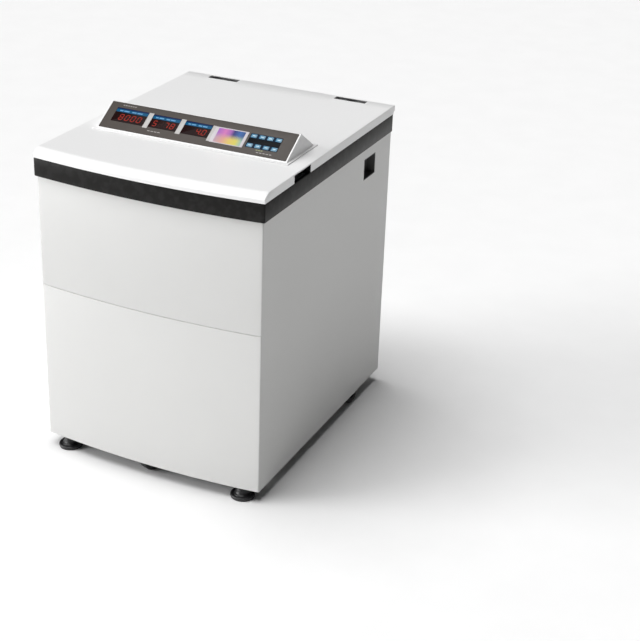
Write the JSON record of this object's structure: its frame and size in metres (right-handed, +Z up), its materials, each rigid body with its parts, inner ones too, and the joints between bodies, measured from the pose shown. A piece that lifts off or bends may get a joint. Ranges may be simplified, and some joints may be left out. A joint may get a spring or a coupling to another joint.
{
  "type": "laboratory centrifuge",
  "caption": "Floor-standing refrigerated laboratory centrifuge: white cabinet, dark band, hinged lid with a wedge console, and a fixed-angle rotor in a cooled chamber.",
  "frame": {"origin": "on the floor, under the middle of the machine's outline", "axes": "+X to the operator's right, +Y to the back, +Z up"},
  "size_m": [0.652, 0.806, 0.905],
  "materials": {
    "white_panel": "fine textured powder coat",
    "lid_white": "smooth satin",
    "band_dark": "fine grain",
    "deck_grey": "satin",
    "steel": "zinc plated",
    "stainless": "brushed",
    "frame_paint": "matt",
    "black_rubber": "matt",
    "black_plastic": "fine grain",
    "foam": "closed-cell foam",
    "copper": "drawn copper",
    "motor_paint": "satin",
    "fin_aluminium": "mill",
    "console_white": "satin",
    "console_grey": "printed film",
    "display_red": "tinted window",
    "screen_colour": "lit screen",
    "board_green": "solder mask",
    "key_blue": "satin",
    "rotor_anodised": "dark anodised",
    "rocker_grey": "satin",
    "black_steel": "black enamel",
    "foot_black": "moulded"
  },
  "bodies": {
    "cabinet": {"base_plate": "frame_paint", "chassis_frame": "frame_paint", "bridge_plate": "steel", "front_upper_panel": "white_panel", "front_lower_panel": "white_panel", "left_side_panel": "white_panel", "right_side_panel": "white_panel", "rear_panel": "white_panel", "trim_band": "band_dark", "top_deck": "deck_grey", "chamber_bowl": "stainless", "chamber_gasket": "black_rubber", "guard_ring": "frame_paint", "chamber_insulation": "foam", "refrigerant_pipes": "copper", "motor_housing": "motor_paint", "motor_stator": "copper", "motor_dampers": "black_rubber", "spindle_bearings": "steel", "compressor": "black_steel", "condenser": "fin_aluminium", "fan_shroud": "black_plastic", "inverter_box": "steel", "power_inlet": "black_plastic", "switch_recess": "black_plastic", "lock_housing": "steel", "hinge_brackets": "steel", "drain_spigot": "black_rubber", "cabinet_fasteners": "steel", "caster_brackets": "steel"},
    "lid": {"lid_shell": "lid_white", "lid_liner": "deck_grey", "lid_insulation": "foam", "lid_strikers": "steel", "lid_hinge_arms": "black_steel", "console_housing": "console_white", "console_face": "console_grey", "led_displays": "display_red", "graphic_screen": "screen_colour", "console_board": "board_green"},
    "rotor": {"drive_shaft": "steel", "rotor_body": "rotor_anodised", "rotor_nut": "rotor_anodised"},
    "fan": {"fan_blades": "black_plastic"},
    "mains_rocker": {"mains_rocker": "rocker_grey"},
    "lock_bolt": {"lock_bolt": "steel"},
    "front_fork": {"caster_fork": "steel"},
    "front_wheel": {"front_caster_wheel": "black_rubber"},
    "rear_left_wheel": {"rear_left_wheel": "black_rubber"},
    "rear_right_wheel": {"rear_right_wheel": "black_rubber"},
    "left_foot": {"left_foot": "foot_black"},
    "right_foot": {"right_foot": "foot_black"},
    "key_1": {"key_1": "key_blue"},
    "key_2": {"key_2": "key_blue"},
    "key_3": {"key_3": "key_blue"},
    "key_4": {"key_4": "key_blue"},
    "key_5": {"key_5": "key_blue"},
    "key_6": {"key_6": "key_blue"},
    "key_7": {"key_7": "key_blue"},
    "key_8": {"key_8": "key_blue"}
  },
  "joints": [
    {"name": "lid_hinge", "type": "hinge", "parent": "cabinet", "child": "lid", "pos_m": [0, 0.397, 0.829], "axis": [-1, 0, 0], "range_deg": [0, 75]},
    {"name": "rotor_spin", "type": "hinge", "parent": "cabinet", "child": "rotor", "pos_m": [0, 0.05, 0.6], "axis": [0, 0, 1], "continuous": true},
    {"name": "fan_spin", "type": "hinge", "parent": "cabinet", "child": "fan", "pos_m": [0.164, 0.308, 0.29], "axis": [0, 1, 0], "continuous": true},
    {"name": "lock_bolt_slide", "type": "slide", "parent": "cabinet", "child": "lock_bolt", "axis": [1, 0, 0], "range_m": [0, 0.015]},
    {"name": "mains_rocker_tilt", "type": "hinge", "parent": "cabinet", "child": "mains_rocker", "pos_m": [0.298, 0.232, 0.724], "axis": [0, 1, 0], "range_deg": [0, 20]},
    {"name": "front_caster_swivel", "type": "hinge", "parent": "cabinet", "child": "front_fork", "pos_m": [0, -0.331, 0.09], "axis": [0, 0, 1], "continuous": true},
    {"name": "front_wheel_roll", "type": "hinge", "parent": "front_fork", "child": "front_wheel", "pos_m": [-0.00742, -0.35383, 0.0375], "axis": [0.9511, -0.309, 0], "continuous": true},
    {"name": "rear_left_wheel_roll", "type": "hinge", "parent": "cabinet", "child": "rear_left_wheel", "pos_m": [-0.3, 0.23, 0.0375], "axis": [1, 0, 0], "continuous": true},
    {"name": "rear_right_wheel_roll", "type": "hinge", "parent": "cabinet", "child": "rear_right_wheel", "pos_m": [0.3, 0.23, 0.0375], "axis": [1, 0, 0], "continuous": true},
    {"name": "left_foot_turn", "type": "hinge", "parent": "cabinet", "child": "left_foot", "pos_m": [-0.265, -0.359, 0.05], "axis": [0, 0, 1], "continuous": true},
    {"name": "right_foot_turn", "type": "hinge", "parent": "cabinet", "child": "right_foot", "pos_m": [0.265, -0.359, 0.05], "axis": [0, 0, 1], "continuous": true},
    {"name": "key_1_press", "type": "slide", "parent": "lid", "child": "key_1", "axis": [0, 0.5318, -0.8469], "range_m": [0, 0.0008], "stiffness_N_per_m": 1500, "springref_m": -0.0002},
    {"name": "key_2_press", "type": "slide", "parent": "lid", "child": "key_2", "axis": [0, 0.5318, -0.8469], "range_m": [0, 0.0008], "stiffness_N_per_m": 1500, "springref_m": -0.0002},
    {"name": "key_3_press", "type": "slide", "parent": "lid", "child": "key_3", "axis": [0, 0.5318, -0.8469], "range_m": [0, 0.0008], "stiffness_N_per_m": 1500, "springref_m": -0.0002},
    {"name": "key_4_press", "type": "slide", "parent": "lid", "child": "key_4", "axis": [0, 0.5318, -0.8469], "range_m": [0, 0.0008], "stiffness_N_per_m": 1500, "springref_m": -0.0002},
    {"name": "key_5_press", "type": "slide", "parent": "lid", "child": "key_5", "axis": [0, 0.5318, -0.8469], "range_m": [0, 0.0008], "stiffness_N_per_m": 1500, "springref_m": -0.0002},
    {"name": "key_6_press", "type": "slide", "parent": "lid", "child": "key_6", "axis": [0, 0.5318, -0.8469], "range_m": [0, 0.0008], "stiffness_N_per_m": 1500, "springref_m": -0.0002},
    {"name": "key_7_press", "type": "slide", "parent": "lid", "child": "key_7", "axis": [0, 0.5318, -0.8469], "range_m": [0, 0.0008], "stiffness_N_per_m": 1500, "springref_m": -0.0002},
    {"name": "key_8_press", "type": "slide", "parent": "lid", "child": "key_8", "axis": [0, 0.5318, -0.8469], "range_m": [0, 0.0008], "stiffness_N_per_m": 1500, "springref_m": -0.0002}
  ]
}
